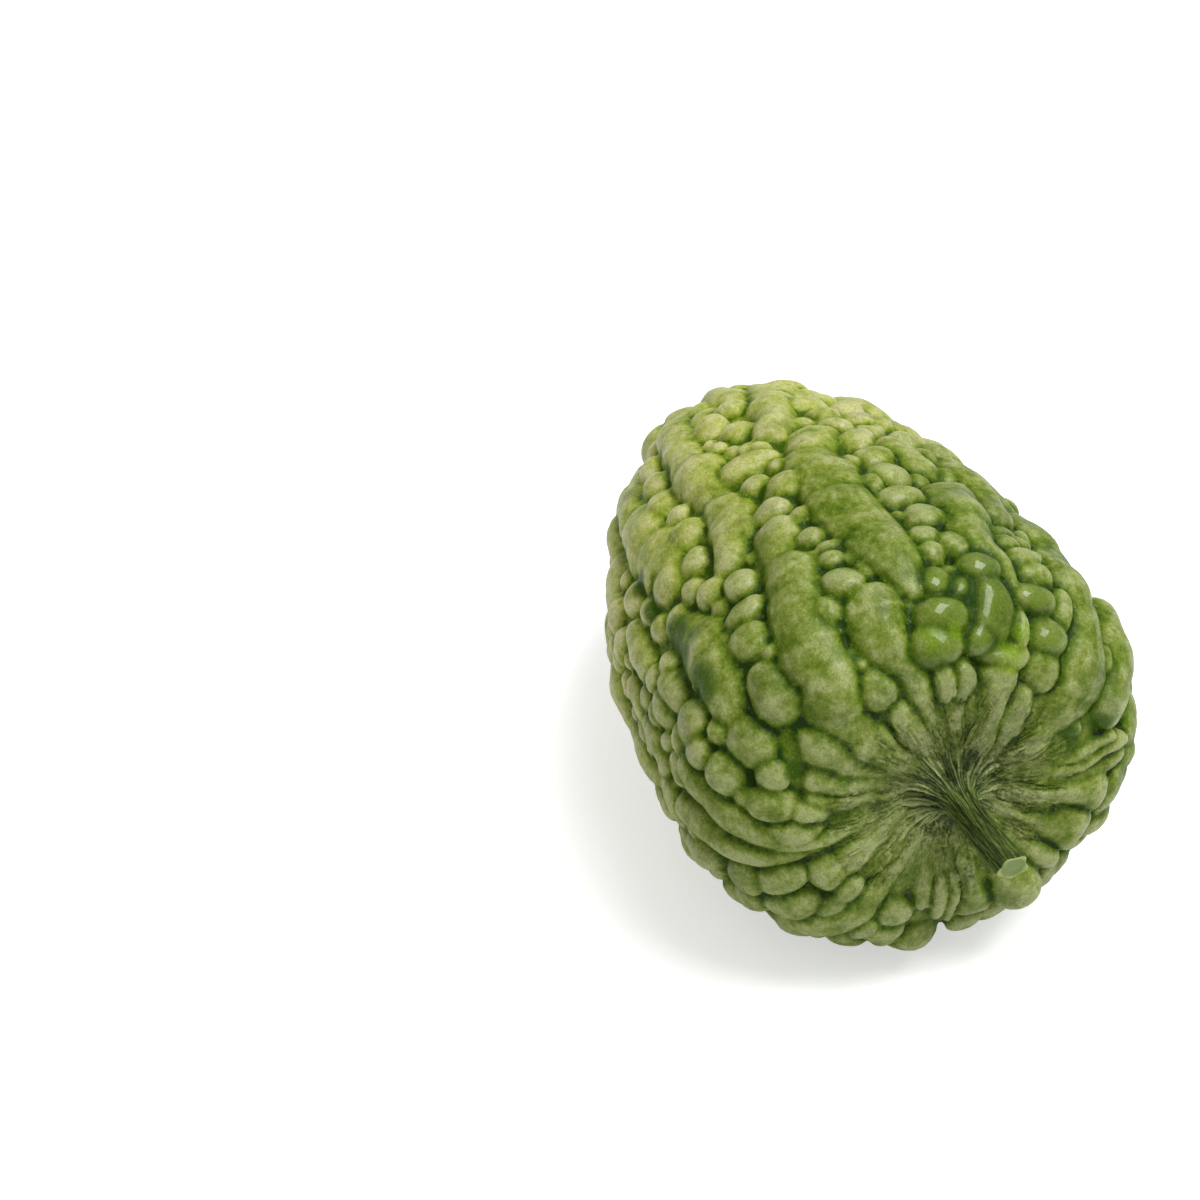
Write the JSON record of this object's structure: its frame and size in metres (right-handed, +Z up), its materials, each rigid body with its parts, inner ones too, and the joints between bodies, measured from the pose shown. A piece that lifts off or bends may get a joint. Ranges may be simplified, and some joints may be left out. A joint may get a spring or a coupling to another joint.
{
  "type": "bitter melon",
  "caption": "Whole bitter melon lying on its side: a blunt, ridged and warty green fruit, tapering to the blossom end, with a short cut stem.",
  "frame": {"origin": "middle of the bounding box in X and Y, on the surface that the fruit lies on", "axes": "+Z up; the stem end faces +X and the blossom end -X, with the fruit's axis 3 degrees up towards the stem"},
  "size_m": [0.1674, 0.0958, 0.0935],
  "materials": {
    "skin": "waxy warty skin, satin, mid green in the creases and pale green on the ridges",
    "stem": "dull fibrous green stalk with a pale cut end"
  },
  "bodies": {
    "root": {"fruit": "skin", "stem": "stem"}
  },
  "joints": []
}
